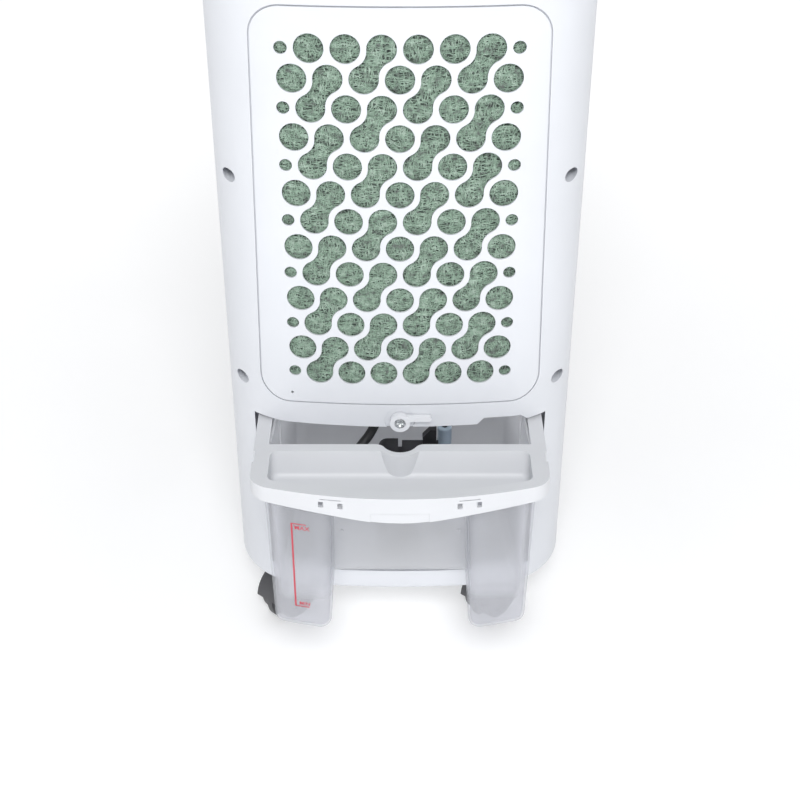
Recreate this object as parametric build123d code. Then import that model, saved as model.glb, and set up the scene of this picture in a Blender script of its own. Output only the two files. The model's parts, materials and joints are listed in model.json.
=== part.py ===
from build123d import *
import os
from math import sqrt

os.makedirs("parts", exist_ok=True)

# Evaporative cooler on casters. Millimetres. The origin is on the floor under the body's centre.
# +Z is up, +Y is the rear (intake grille and water tank), -Y is the front (air outlet).
# The tank is modelled pulled out by TANK_OUT, which is its rest pose.

# ---- housing ----
BODY_W = 314
BODY_D = 310
BODY_BOTTOM = 57
SHELL_TOP = 655
BODY_TOP = 700
COVER_EDGE_R = 16
WALL = 2.5
REAR_BOW_R = 800
FRONT_BOW_R = 600
REAR_CORNER_R = 70
FRONT_CORNER_R = 40
SEAM_Y = 60
HALF_W = BODY_W / 2
HALF_D = BODY_D / 2
REACH = 400
FOOT_R = 8
FOOT_FLANGE = 3

# ---- grille panel and its hole lattice ----
GRILLE_BOTTOM = 273
GRILLE_TOP = 628
GRILLE_HALF_BOTTOM = 122.5
GRILLE_HALF_TOP = 115
GRILLE_CORNER_R = 24
GRILLE_THICK = 1.8
GRILLE_GAP = 1.3
SEAT_FACE = GRILLE_THICK + 0.3
SEAT_BACK = SEAT_FACE + 2.5
SEAT_LAP = 7
HOLE_PITCH = 28
HOLE_D = 23.5
SMALL_HOLE_D = 10.4
NECK_HALF = 7.5
ROW_PITCH = HOLE_PITCH * sqrt(3) / 2
LOWEST_ROW_Z = 305
ROW_COUNT = 13
SMALL_HOLE_STEP = 3.27
PIN_HOLE_X = 95
PIN_HOLE_D = 2.4

# ---- cooling pad ----
PAD_HALF_W = 104
PAD_Z = (286, 615)
PAD_FRONT_Y = 121
PAD_INSET = GRILLE_THICK + 0.7

# ---- rear casing ----
BAY_HALF = 123.5
BAY_HALF_TOP = 131.5
BAY_STEP = (214, 220)
SILL_TOP = 81
BAY_TOP = 248.6
BAY_TOP_CORNER = 251.4
EDGE_NOTCH = [(-67, 247), (-75, 256), (-108, 256), (-115, 250), (-115, 247)]
WELL_X = 141
WELL_ZS = [283, 479]
WELL_D = 11.5
LATCH_Z = 255.4
DISH_D = 27

# ---- tank ----
TANK_OUT = 107
RIM_TOP = 248
RIM_HALF = 128
RIM_FRONT_Y = HALF_D - 1 + TANK_OUT
RIM_BOW_R = 390
TANK_FLOOR = 85
TANK_WALL = 2.2
TANK_REAR_Y = 29
TANK_NOSE_Y = 165.5
TANK_NOSE_TOP_Y = 185
NOSE_CREASE_Z = 112
LOBE_IN = 58
LOBE_OUT = 118
LOBE_INSET = 6
LOBE_TAPER = 1.4
TRAY_DEPTH = 25
TRAY_REAR_Y = 191
TRAY_HALF = 115
TRAY_INSET = 8.8
TRAY_CORNER_R = 9
TRAY_COVE_R = 8
LATCH_SLOT_X = (50.3, 66.7)
SLIT_HALF = 9
SIDE_SLIT_Y = (192, 207)
STUD_X = 54
STUD_Z = 142.5
STUD_D = 3.6
THUMB_HALF = 25
THUMB_TOP = 232.4
CROSSBAR_REAR_Y = 181
BELL_R = 16
BELL_DEPTH = 12.5
BELL_WALL = 6

# ---- pump and hose ----
PUMP_Y = 123
PUMP_OUTLET_X = 46
PUMP_OUTLET_Y = 122
HOSE_X = 20
HOSE_Y = 60
HOSE_D = 9
HOSE_BORE = 6
FLOAT_X = -42
FLOAT_Y = 100
FLOAT_BOTTOM = 191
FLOAT_LEN = 21
FLOAT_TRAVEL = 9

# ---- air path ----
OUTLET_HALF_W = 111
OUTLET_BOTTOM = 399
OUTLET_TOP = 601
OUTLET_WALL = 4
FAN_Z = 500
FAN_R = 114
LOUVRE_AXIS_Y = -128
LOUVRE_PITCH = 39
VANE_AXIS_Y = -90
VANE_PITCH = 40
BLADE_CHORD = 32
BLADE_THICK = 3
CRANK = 12
PIN_D = 4
CRANK_PIN_D = 3
FIT = 0.1

# ---- casters ----
CASTER_REAR_X = 101
CASTER_FRONT_X = 113
REAR_SWIVEL = -40
CASTER_REAR_Y = 105
CASTER_FRONT_Y = -108
WHEEL_D = 50
WHEEL_T = 12
CASTER_OFFSET = 14
STEM_D = 8

# ---- cord inlet ----
INLET_Y = 20
INLET_Z = 110
INLET_WINDOW = 32
INLET_D = 14
CORD_BORE = 7.5

# ---- controls ----
BUTTON_COUNT = 5
BUTTON_PITCH = 22
BUTTON_D = 12
BUTTON_Y = -100
DISPLAY_Y = -72


def block(x0, x1, y0, y1, z0, z1):
    size = Box(x1 - x0, y1 - y0, z1 - z0)
    return Pos((x0 + x1) / 2, (y0 + y1) / 2, (z0 + z1) / 2) * size


def rod_x(x0, x1, y, z, d):
    return Pos((x0 + x1) / 2, y, z) * Rot(0, 90, 0) * Cylinder(d / 2, x1 - x0)


def rod_y(x, y0, y1, z, d):
    return Pos(x, (y0 + y1) / 2, z) * Rot(90, 0, 0) * Cylinder(d / 2, y1 - y0)


def rod_z(x, y, z0, z1, d):
    return Pos(x, y, (z0 + z1) / 2) * Cylinder(d / 2, z1 - z0)


def plan_outline(inset=0.0):
    """The housing's outline from above: bowed front and rear, rounded corners."""
    rear = Pos(0, HALF_D - REAR_BOW_R) * Circle(REAR_BOW_R)
    front = Pos(0, FRONT_BOW_R - HALF_D) * Circle(FRONT_BOW_R)
    outline = Rectangle(BODY_W, BODY_D) & rear & front
    outline = fillet(outline.vertices().filter_by(lambda v: v.Y > 0), REAR_CORNER_R)
    front_corners = outline.vertices().filter_by(lambda v: v.Y < -100 and abs(v.X) > 150)
    outline = fillet(front_corners, FRONT_CORNER_R)
    if inset:
        outline = offset(outline, amount=-inset)
    return outline


def plan_solid(inset, z0, z1):
    return extrude(Pos(0, 0, z0) * plan_outline(inset), amount=z1 - z0)


def plan_ring(outer_inset, inner_inset, z0, z1):
    return plan_solid(outer_inset, z0, z1) - plan_solid(inner_inset, z0 - 1, z1 + 1)


def through_rear(sketch):
    """A profile in the XZ plane, run from the middle of the housing out to the rear."""
    return extrude(Plane.XZ * sketch, amount=-REACH)


def grille_profile(grow=0.0):
    corners = [
        (-GRILLE_HALF_BOTTOM, GRILLE_BOTTOM),
        (GRILLE_HALF_BOTTOM, GRILLE_BOTTOM),
        (GRILLE_HALF_TOP, GRILLE_TOP),
        (-GRILLE_HALF_TOP, GRILLE_TOP),
    ]
    profile = make_face(Polyline(*corners, close=True))
    profile = fillet(profile.vertices(), GRILLE_CORNER_R)
    if grow:
        profile = offset(profile, amount=grow)
    return profile


def neck_between(a, b):
    """The waisted slot that joins two neighbouring round holes."""
    r = HOLE_D / 2
    half = HOLE_PITCH / 2
    flank_r = (half ** 2 + NECK_HALF ** 2 - r ** 2) / (2 * (r - NECK_HALF))
    mid = ((a[0] + b[0]) / 2, (a[1] + b[1]) / 2)
    ux = (b[0] - a[0]) / HOLE_PITCH
    uz = (b[1] - a[1]) / HOLE_PITCH
    side = NECK_HALF + flank_r
    s1 = (mid[0] - uz * side, mid[1] + ux * side)
    s2 = (mid[0] + uz * side, mid[1] - ux * side)
    diamond = make_face(Polyline(a, s1, b, s2, close=True))
    flanks = Pos(*s1) * Circle(flank_r) + Pos(*s2) * Circle(flank_r)
    return diamond - flanks


def hole_lattice():
    """Rows of seven and rows of six holes in turn, counted down from the top row."""
    holes = Sketch()
    top_z = LOWEST_ROW_Z + (ROW_COUNT - 1) * ROW_PITCH
    rows = []
    for row in range(ROW_COUNT):
        z = top_z - row * ROW_PITCH
        wide = (ROW_COUNT - 1 - row) % 2 == 1
        count = 7 if wide else 6
        # column 0 is on the +X side
        xs = [((count - 1) / 2 - col) * HOLE_PITCH for col in range(count)]
        rows.append((wide, z, xs))
    for wide, z, xs in rows:
        for x in xs:
            holes += Pos(x, z) * Circle(HOLE_D / 2)
        if not wide:
            for side in (-1, 1):
                holes += Pos(side * SMALL_HOLE_STEP * HOLE_PITCH, z) * Circle(SMALL_HOLE_D / 2)
    for (wide, z, xs), (_, z_below, xs_below) in zip(rows, rows[1:]):
        joins = [(1, 0), (4, 3)] if wide else [(2, 2), (5, 5)]
        for col, col_below in joins:
            holes += neck_between((xs[col], z), (xs_below[col_below], z_below))
    return holes


def screw_heads(points, y_seat, head_d, head_h, shank_d, shank_len):
    """Pan-head screws driven towards -Y, with cross recesses."""
    solids = []
    for x, z in points:
        screw = rod_y(x, y_seat - shank_len, y_seat + 0.01, z, shank_d)
        screw += rod_y(x, y_seat, y_seat + head_h, z, head_d)
        arm = head_d * 0.3
        top = y_seat + head_h
        screw -= block(x - arm, x + arm, top - 1.2, top + 1, z - 0.5, z + 0.5)
        screw -= block(x - 0.5, x + 0.5, top - 1.2, top + 1, z - arm, z + arm)
        solids.append(screw)
    return Compound(children=solids)


# ---------------------------------------------------------------- housing shells
def shell_blank():
    """The walls of both shells in one ring, turned in at the bottom edge."""
    outer = plan_solid(0, BODY_BOTTOM, SHELL_TOP)
    outer = fillet(outer.faces().sort_by(Axis.Z)[0].edges(), FOOT_R)
    inner = plan_solid(WALL, BODY_BOTTOM + WALL, SHELL_TOP + 1)
    inner = fillet(inner.faces().sort_by(Axis.Z)[0].edges(), FOOT_R - WALL)
    mouth = plan_solid(FOOT_R + FOOT_FLANGE, BODY_BOTTOM - 1, BODY_BOTTOM + WALL + 1)
    return outer - inner - mouth


def bay_profile():
    """The tank's doorway: a step under the tank frame's flanges and a shallow arched head."""
    low, high = BAY_STEP
    head = ThreePointArc(
        (BAY_HALF_TOP, BAY_TOP_CORNER), (0, BAY_TOP), (-BAY_HALF_TOP, BAY_TOP_CORNER)
    )
    rest = Polyline(
        (-BAY_HALF_TOP, BAY_TOP_CORNER), (-BAY_HALF_TOP, high), (-BAY_HALF, low), (-BAY_HALF, SILL_TOP),
        (BAY_HALF, SILL_TOP), (BAY_HALF, low), (BAY_HALF_TOP, high), (BAY_HALF_TOP, BAY_TOP_CORNER),
    )
    return make_face(head + rest)


def make_rear_casing():
    shell = shell_blank()
    seat_band = plan_ring(WALL / 2, SEAT_BACK, GRILLE_BOTTOM - 20, GRILLE_TOP + 20)
    seat = seat_band & through_rear(grille_profile(8))
    casing = shell + seat
    for sign in (-1, 1):
        for z in WELL_ZS:
            tube = rod_y(sign * WELL_X, 100, 140, z, WELL_D + 4)
            casing += tube & plan_solid(0, z - 20, z + 20)
    latch_boss = block(-15, 15, 142, 154, BAY_TOP + 1, 271) & plan_solid(WALL / 2, 240, 280)
    casing += latch_boss
    sill_return = plan_ring(1, 11, SILL_TOP - 3, SILL_TOP)
    casing += sill_return & block(-BAY_HALF, BAY_HALF, 100, 160, 70, 90)

    casing &= block(-HALF_W, HALF_W, SEAM_Y, HALF_D + 1, BODY_BOTTOM - 1, SHELL_TOP + 1)
    casing -= through_rear(grille_profile(GRILLE_GAP)) & plan_ring(-2, SEAT_FACE, 240, 640)
    casing -= through_rear(grille_profile(-SEAT_LAP)) & plan_ring(-2, SEAT_BACK + 1, 240, 640)
    casing -= through_rear(bay_profile()) & block(-160, 160, 100, 200, 70, 270)
    casing -= through_rear(make_face(Polyline(*EDGE_NOTCH, close=True))) & block(-160, 160, 100, 200, 240, 260)
    for sign in (-1, 1):
        for z in WELL_ZS:
            casing -= rod_y(sign * WELL_X, 103, 180, z, WELL_D)
            casing -= rod_y(sign * WELL_X, 95, 110, z, 4.2)
    casing -= rod_y(0, HALF_D - 1.2, 180, LATCH_Z, DISH_D)
    casing -= rod_y(0, 130, 180, LATCH_Z, 3.4)
    return casing


def make_front_casing():
    casing = shell_blank()
    casing &= block(-HALF_W, HALF_W, -HALF_D - 1, SEAM_Y, BODY_BOTTOM - 1, SHELL_TOP + 1)
    edge = OUTLET_WALL + 0.6
    casing -= block(
        -OUTLET_HALF_W - edge, OUTLET_HALF_W + edge, -170, -110,
        OUTLET_BOTTOM - edge, OUTLET_TOP + edge,
    )
    for sign in (-1, 1):
        for z in WELL_ZS:
            x = sign * WELL_X
            casing += rod_y(x, 20, 99.5, z, 10)
            rib_in, rib_out = sorted((x, sign * (HALF_W - 1)))
            casing += block(rib_in, rib_out, 20, SEAM_Y - 2, z - 1.2, z + 1.2)
            casing -= rod_y(x, 68, 101, z, 3.5)
    return casing - inlet_block(INLET_WINDOW, -HALF_W - 1, -HALF_W + WALL + 1)


def inlet_block(size, x0, x1):
    """A square block about the cord inlet's axis."""
    half = size / 2
    return block(x0, x1, INLET_Y - half, INLET_Y + half, INLET_Z - half, INLET_Z + half)


def make_inlet_plate():
    """A small plate in a window of the side wall, flanged behind it, that carries the bushing."""
    plate = inlet_block(INLET_WINDOW - 0.4, -HALF_W + 0.4, -HALF_W + WALL + 0.2)
    plate += inlet_block(INLET_WINDOW + 10, -HALF_W + WALL + 0.1, -HALF_W + WALL + 2.1)
    return plate - rod_x(-HALF_W - 5, -HALF_W + 12, INLET_Y, INLET_Z, INLET_D)


def make_top_cover():
    outer = plan_solid(0, SHELL_TOP + 0.4, BODY_TOP)
    outer = fillet(outer.faces().sort_by(Axis.Z)[-1].edges(), COVER_EDGE_R)
    inner = plan_solid(WALL, SHELL_TOP, BODY_TOP - 3)
    inner = fillet(inner.faces().sort_by(Axis.Z)[-1].edges(), COVER_EDGE_R - 3)
    cover = outer - inner
    panel = extrude(Pos(0, -86, BODY_TOP - 1.2) * RectangleRounded(140, 56, 10), amount=5)
    cover -= panel
    for x in button_xs():
        cover -= rod_z(x, BUTTON_Y, 690, 710, BUTTON_D + 0.6)
    cover -= block(-30.3, 30.3, DISPLAY_Y - 8.3, DISPLAY_Y + 8.3, 690, 710)
    for x in (-62, 62):
        for y in (-106, -66):
            cover += rod_z(x, y, 687, BODY_TOP - 2.5, 6)
    # spigot lip that drops inside the shells, on a ledge from the cover's wall
    lip = plan_ring(WALL + 0.3, WALL + 2.3, SHELL_TOP - 6, SHELL_TOP + 6)
    ledge = plan_ring(WALL - 0.5, WALL + 2.3, SHELL_TOP + 2, SHELL_TOP + 6)
    return cover + lip + ledge


def button_xs():
    first = -(BUTTON_COUNT - 1) / 2 * BUTTON_PITCH
    return [first + i * BUTTON_PITCH for i in range(BUTTON_COUNT)]


def caster_points():
    return {
        "rear_left": (CASTER_REAR_X, CASTER_REAR_Y),
        "rear_right": (-CASTER_REAR_X, CASTER_REAR_Y),
        "front_left": (CASTER_FRONT_X, CASTER_FRONT_Y),
        "front_right": (-CASTER_FRONT_X, CASTER_FRONT_Y),
    }


def make_base_pan():
    plate_z = BODY_BOTTOM + WALL + 0.3
    ledge_z = BODY_BOTTOM + FOOT_R + 0.3
    pan = plan_solid(FOOT_R + 0.6, plate_z, plate_z + 3)
    pan += plan_ring(FOOT_R + 0.6, FOOT_R + FOOT_FLANGE, plate_z, ledge_z + 3)
    pan += plan_ring(WALL + 0.3, FOOT_R + FOOT_FLANGE, ledge_z, ledge_z + 3)
    pan += plan_ring(WALL + 0.3, WALL + 2.8, ledge_z, SILL_TOP - 4)
    for sign in (-1, 1):
        inner, outer = sorted((sign * 72, sign * 84))
        pan += block(inner, outer, -120, 138, BODY_BOTTOM + 3, TANK_FLOOR - 0.4)
    for x, y in caster_points().values():
        pan += rod_z(x, y, BODY_BOTTOM + 0.5, 78, 17)
        pan -= rod_z(x, y, BODY_BOTTOM - 1, 76, STEM_D + FIT)
    return pan


# ---------------------------------------------------------------- intake side
def make_grille():
    band = plan_ring(0, GRILLE_THICK, GRILLE_BOTTOM - 5, GRILLE_TOP + 5)
    plate = band & through_rear(grille_profile())
    plate -= through_rear(hole_lattice())
    plate -= through_rear(Pos(PIN_HOLE_X, GRILLE_BOTTOM + 9) * Circle(PIN_HOLE_D / 2))
    return plate


def make_cooling_pad():
    return plan_solid(PAD_INSET, *PAD_Z) & block(-PAD_HALF_W, PAD_HALF_W, PAD_FRONT_Y, 200, *PAD_Z)


def make_pad_frame():
    """A shallow tray behind the pad: a rim round it and ribs across its front side."""
    rim_out = 118
    z0, z1 = PAD_Z[0] - 5, PAD_Z[1] + 4
    frame = block(-rim_out, rim_out, PAD_FRONT_Y - 5, 133, z0, z1)
    frame -= block(-PAD_HALF_W - 0.4, PAD_HALF_W + 0.4, PAD_FRONT_Y - 0.3, 160, PAD_Z[0] - 0.4, PAD_Z[1] + 0.4)
    windows = Sketch()
    for col in range(4):
        for row in range(6):
            windows += Pos(-81 + col * 54, 315 + row * 54.5) * RectangleRounded(46, 46, 5)
    frame -= extrude(Plane.XZ * windows, amount=-REACH)
    return frame


def make_water_distributor():
    trough = block(-114, 114, 119, 143, 627, 648) & plan_solid(SEAT_BACK + 1.5, 600, 660)
    trough -= block(-111.5, 111.5, 121.5, 139.5, 629.5, 646)
    for i in range(15):
        trough -= rod_z(-98 + i * 14, 131, 620, 635, 3)
    trough += rod_y(105, 112, 120, 637, 7)
    trough -= rod_y(105, 108, 125, 637, 4)
    return trough


def make_drip_tray():
    """The floor of the air chamber, with a trough that drains the pad's water into the tank."""
    plate = plan_solid(WALL + 0.4, 256, 258.5)
    plate &= block(-160, 160, -140, 139, 250, 262)
    plate += block(-122, 122, 108, 111, 257, 270)
    plate -= extrude(Pos(0, 124, 250) * SlotOverall(190, 12), amount=20)
    plate -= rod_z(HOSE_X, HOSE_Y, 240, 270, 4)
    return plate + (rod_z(HOSE_X, HOSE_Y, 250.5, 262, 9) - rod_z(HOSE_X, HOSE_Y, 240, 270, 4))


def bent_tube(points, radii, d, bore):
    path = FilletPolyline(*points, radius=radii)
    start = path.location_at(0)
    ring = Plane(start.position, z_dir=path.tangent_at(0)) * (Circle(d / 2) - Circle(bore / 2))
    return sweep(ring, path=path)


def make_riser_hose():
    points = [
        (HOSE_X, HOSE_Y, 262), (HOSE_X, HOSE_Y, 292), (105, 92, 300), (105, 92, 637), (105, 112, 637),
    ]
    return bent_tube(points, [12, 12, 9], HOSE_D, HOSE_BORE)


def make_pump_hose():
    points = [
        (PUMP_OUTLET_X, PUMP_OUTLET_Y, 180), (PUMP_OUTLET_X, PUMP_OUTLET_Y, 192),
        (HOSE_X, 104, 216), (HOSE_X, HOSE_Y, 236), (HOSE_X, HOSE_Y, 250.5),
    ]
    return bent_tube(points, [12, 14, 7], HOSE_D, HOSE_BORE)


# ---------------------------------------------------------------- tank
def rim_outline(inset=0.0):
    """The tank frame's outline from above: bowed front, rounded front corners."""
    bow = Pos(0, RIM_FRONT_Y - RIM_BOW_R) * Circle(RIM_BOW_R)
    slab = Pos(0, (TANK_REAR_Y + RIM_FRONT_Y) / 2) * Rectangle(2 * RIM_HALF, RIM_FRONT_Y - TANK_REAR_Y)
    outline = slab & bow
    outline = fillet(outline.vertices().filter_by(lambda v: v.Y > 150), 20)
    outline = fillet(outline.vertices().filter_by(lambda v: v.Y < 60), 10)
    if inset:
        outline = offset(outline, amount=-inset)
    return outline


def rim_solid(inset, z0, z1):
    return extrude(Pos(0, 0, z0) * rim_outline(inset), amount=z1 - z0)


def tank_blank(inset):
    """The tank's solid form less a wall of the given thickness: a pool and two front lobes."""
    floor = TANK_FLOOR + inset
    top = RIM_TOP - 4
    y0 = TANK_REAR_Y + 8 + inset
    foot = TANK_NOSE_Y - inset
    brow = TANK_NOSE_TOP_Y - inset
    half0 = 104 - inset
    half1 = 117 - inset
    plan = make_face(Polyline((-half0, y0), (half0, y0), (half1, brow), (-half1, brow), close=True))
    side = make_face(
        Polyline((y0 - 5, floor), (foot, floor), (foot, NOSE_CREASE_Z), (brow, top), (y0 - 5, top), close=True)
    )
    pool = extrude(Pos(0, 0, floor) * plan, amount=top - floor)
    pool &= extrude(Plane.YZ * side, amount=half1 + 5, both=True)
    rear_corners = pool.edges().filter_by(lambda e: e.bounding_box().size.Z > 100 and e.center().Y < 60)
    pool = fillet(rear_corners, 14 - inset)
    pool = fillet(pool.faces().sort_by(Axis.Z)[0].edges(), 13 - inset)
    blank = pool
    for sign in (-1, 1):
        blank += tank_lobe(sign, inset, floor, top)
    return blank


def tank_lobe(sign, inset, floor, top):
    x_in = LOBE_IN + inset
    x_out = LOBE_OUT - inset
    lean = 4
    corners = [
        (sign * x_in, TANK_NOSE_Y - 40),
        (sign * (x_out - lean), TANK_NOSE_Y - 40),
        (sign * x_out, RIM_FRONT_Y),
        (sign * x_in, RIM_FRONT_Y),
    ]
    plan = make_face(Polyline(*corners, close=True))
    plan &= Pos(0, RIM_FRONT_Y - RIM_BOW_R) * Circle(RIM_BOW_R - LOBE_INSET - inset)
    plan = fillet(plan.vertices().filter_by(lambda v: v.Y > TANK_NOSE_Y), 13 - inset)
    lobe = extrude(Pos(0, 0, top) * plan, amount=top - floor, dir=(0, 0, -1), taper=LOBE_TAPER)
    foot = lobe.faces().sort_by(Axis.Z)[0].edges()
    return fillet(foot.filter_by(lambda e: e.center().Y > TANK_NOSE_Y - 30), 11 - inset)


def make_water_tank():
    tank = tank_blank(0) - tank_blank(TANK_WALL)
    tank -= block(-200, 200, 0, 300, RIM_TOP - 4 - 0.01, 260)
    for sign in (-1, 1):
        tank += rod_y(sign * STUD_X, TANK_NOSE_Y + 3.1, TANK_NOSE_Y + 5.7, STUD_Z, STUD_D)
    tank -= extrude(Pos(0, 0, RIM_TOP - 12) * bell_notch(0), amount=30)
    return tank - tray_solid(-0.4)


def smile_profile():
    """The region under the rim's lower edge, which dips in the middle to make a grip."""
    edge = [(-140, 234), (-116, 232.7), (-57, 227.6), (-25, 223.4), (0, 221.4)]
    mirrored = [(-x, z) for x, z in reversed(edge[:-1])]
    lower = Spline(*(edge + mirrored))
    frame = Polyline((140, 234), (140, 200), (-140, 200), (-140, 234))
    return make_face(lower + frame)


def make_tank_frame():
    plate = rim_solid(0, RIM_TOP - 3, RIM_TOP)
    skirt = rim_solid(0, 218, RIM_TOP) - rim_solid(2.4, 210, RIM_TOP + 5)
    skirt -= through_rear(smile_profile())
    skirt -= block(-200, 200, 0, TANK_NOSE_Y - 2.5, 210, 230)
    frame = plate + skirt
    # open part over the pump, with a rounded notch in the cross bar
    frame -= block(-115, 115, TANK_REAR_Y + 12, CROSSBAR_REAR_Y, 230, 260)
    # recessed tray between the cross bar and the rim, its rear wall bowed round the notch
    frame -= tray_solid(1)
    frame += tray_solid(0) - tray_solid(2)
    z_tray = RIM_TOP - TRAY_DEPTH
    bulge = extrude(Pos(0, 0, z_tray) * bell_notch(BELL_WALL), amount=TRAY_DEPTH)
    frame += bulge & block(-40, 40, CROSSBAR_REAR_Y + 7, 240, z_tray, RIM_TOP)
    frame -= extrude(Pos(0, 0, 190) * bell_notch(0), amount=80)
    slit_x = sum(LATCH_SLOT_X) / 2
    for sign in (-1, 1):
        for x in LATCH_SLOT_X:
            frame -= latch_slot(sign * x)
        frame -= block(sign * slit_x - SLIT_HALF, sign * slit_x + SLIT_HALF, 245, 275, 243.4, 244.2)
        edge = sign * RIM_HALF
        frame -= block(edge - 1.5, edge + 1.5, *SIDE_SLIT_Y, RIM_TOP - 10, RIM_TOP + 1)
    frame -= block(-THUMB_HALF, THUMB_HALF, RIM_FRONT_Y - 1.6, RIM_FRONT_Y + 5, 215, THUMB_TOP)
    return frame


def bell_notch(grow):
    """A round notch in the cross bar, flared into the bar's edge."""
    centre_y = CROSSBAR_REAR_Y + BELL_DEPTH - BELL_R
    band = Pos(0, CROSSBAR_REAR_Y - 10 + grow) * Rectangle(120, 20)
    notch = band + Pos(0, centre_y) * Circle(BELL_R + grow)
    flare = notch.vertices().filter_by(lambda v: abs(v.X) < 40 and v.Y > CROSSBAR_REAR_Y - 5)
    return fillet(flare, 9 - grow / 2)


def latch_slot(x):
    return block(x - 2.1, x + 2.1, 235, 275, 235.4, 241)


def tray_solid(inset):
    """The tray's pocket: sloping rear wall, floor, upright front that follows the rim."""
    z_floor = RIM_TOP - TRAY_DEPTH + inset
    rear_top = TRAY_REAR_Y - 2 + inset
    rear_foot = TRAY_REAR_Y + 5 + inset
    z_top = RIM_TOP if inset == 0 else RIM_TOP + 2
    corners = [(rear_top, z_top), (rear_foot, z_floor), (REACH, z_floor), (REACH, z_top)]
    profile = make_face(Polyline(*corners, close=True))
    pocket = extrude(Plane.YZ * profile, amount=TRAY_HALF - inset, both=True)
    pocket &= rim_solid(TRAY_INSET + inset, 200, 260)
    corners = pocket.edges().filter_by(lambda e: e.bounding_box().size.Z > TRAY_DEPTH - 6)
    pocket = fillet(corners, TRAY_CORNER_R - inset)
    return fillet(pocket.faces().sort_by(Axis.Z)[0].edges(), TRAY_COVE_R - inset)


def make_pump_body():
    body = block(-18, 20, PUMP_Y - 17, PUMP_Y + 17, TANK_FLOOR + TANK_WALL + 3, 150)
    body = fillet(body.edges().filter_by(Axis.Z), 5)
    for x in (-12, 14):
        for y in (PUMP_Y - 11, PUMP_Y + 11):
            body += rod_z(x, y, TANK_FLOOR + TANK_WALL, 102, 6)
    for i in range(5):
        x = -11 + i * 6
        body -= block(x, x + 3, PUMP_Y + 14, PUMP_Y + 20, 104, 124)
    return body


def make_pump_holder():
    """The upright holder on the pump: two blocks with a rib between, and the hose elbow."""
    left = block(1.8, 20, PUMP_Y - 17, PUMP_Y + 15, 150, 202)
    left = fillet(left.edges().filter_by(Axis.Y).filter_by(lambda e: e.center().Z > 200 and e.center().X > 10), 8)
    right = block(-36, -1.8, PUMP_Y - 17, PUMP_Y + 17, 168, 200)
    right += block(-18, -1.8, PUMP_Y - 17, PUMP_Y + 17, 150, 170)
    holder = left + right + block(-2, 2, PUMP_Y - 12, PUMP_Y + 12, 150, 196)
    holder += block(20, 42, PUMP_Y - 7, PUMP_Y + 5, 160, 170)
    holder += rod_z(PUMP_OUTLET_X, PUMP_OUTLET_Y, 156, 180, 13)
    holder -= rod_z(PUMP_OUTLET_X, PUMP_OUTLET_Y, 161, 185, HOSE_BORE)
    chevron = make_face(Polyline((-22, 198), (-21, 208), (-28, 216), (-34, 216), (-34, 198), close=True))
    return holder + (through_rear(chevron) & block(-40, 0, PUMP_Y - 17, PUMP_Y - 9, 190, 220))


def make_float_stem():
    foot = TANK_FLOOR + TANK_WALL
    stem = rod_z(FLOAT_X, FLOAT_Y, foot, FLOAT_BOTTOM + FLOAT_LEN + 14, 5)
    stem += rod_z(FLOAT_X, FLOAT_Y, foot, foot + 3, 18)
    stem += rod_z(FLOAT_X, FLOAT_Y, FLOAT_BOTTOM - 3, FLOAT_BOTTOM, 9)
    top_collar = FLOAT_BOTTOM + FLOAT_LEN + FLOAT_TRAVEL + 1
    return stem + rod_z(FLOAT_X, FLOAT_Y, top_collar, top_collar + 3, 9)


def make_level_float():
    body = rod_z(FLOAT_X, FLOAT_Y, FLOAT_BOTTOM, FLOAT_BOTTOM + FLOAT_LEN, 13.4)
    body = fillet(body.edges(), 2.5)
    return body - rod_z(FLOAT_X, FLOAT_Y, FLOAT_BOTTOM - 5, FLOAT_BOTTOM + FLOAT_LEN + 5, 5.2)


def make_latch():
    disc = rod_y(0, HALF_D + 0.1, HALF_D + 5, LATCH_Z, 18)
    lever = block(-28, 0, HALF_D + 0.6, HALF_D + 4.6, LATCH_Z + 1.4, LATCH_Z + 7)
    lever = fillet(lever.edges().filter_by(Axis.Y).filter_by(lambda e: e.center().X < -20), 2.6)
    latch = disc + lever
    latch -= rod_y(0, HALF_D + 3.4, HALF_D + 10, LATCH_Z, 10)
    latch -= rod_y(0, 130, 180, LATCH_Z, 4.1)
    return latch


def make_latch_screw():
    screw = screw_heads([(0, LATCH_Z)], HALF_D + 3.5, 9.3, 2.2, 4.0, 4.2)
    shank = rod_y(0, 144, HALF_D + 0.4, LATCH_Z, 3.4)
    return screw.solids()[0] + shank


# ---------------------------------------------------------------- fan
def make_fan_shroud():
    shroud = block(-151, 151, 22, 25, 260, 650) + rod_y(0, -22, 25, FAN_Z, 2 * FAN_R + 14)
    shroud -= rod_y(0, -30, 40, FAN_Z, 2 * FAN_R + 8)
    for sign in (-1, 1):
        for z in WELL_ZS:
            x = sign * WELL_X
            shroud -= block(x - 11, x + 11, 10, 30, z - 7, z + 7)
    return shroud


def make_motor_spider():
    """Four arms from the shroud to the motor's ring."""
    ring = rod_y(0, 26, 34, FAN_Z, 78) - rod_y(0, 20, 40, FAN_Z, 70.4)
    spider = ring
    for i in range(4):
        arm = block(37, 134, 26, 32, -4, 4)
        foot = rod_y(128, 25.2, 32, 0, 14)
        spider += Pos(0, 0, FAN_Z) * Rot(0, 45 + 90 * i, 0) * (arm + foot)
    return spider


def make_fan_motor():
    motor = rod_y(0, 18, 62, FAN_Z, 70)
    motor = fillet(motor.edges().filter_by(lambda e: e.center().Y > 50), 8)
    for i in range(10):
        slot = block(24, 40, 40, 54, -1.5, 1.5)
        motor -= Pos(0, 0, FAN_Z) * Rot(0, 36 * i, 0) * slot
    return motor + rod_y(0, -14, 20, FAN_Z, 8)


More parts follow.
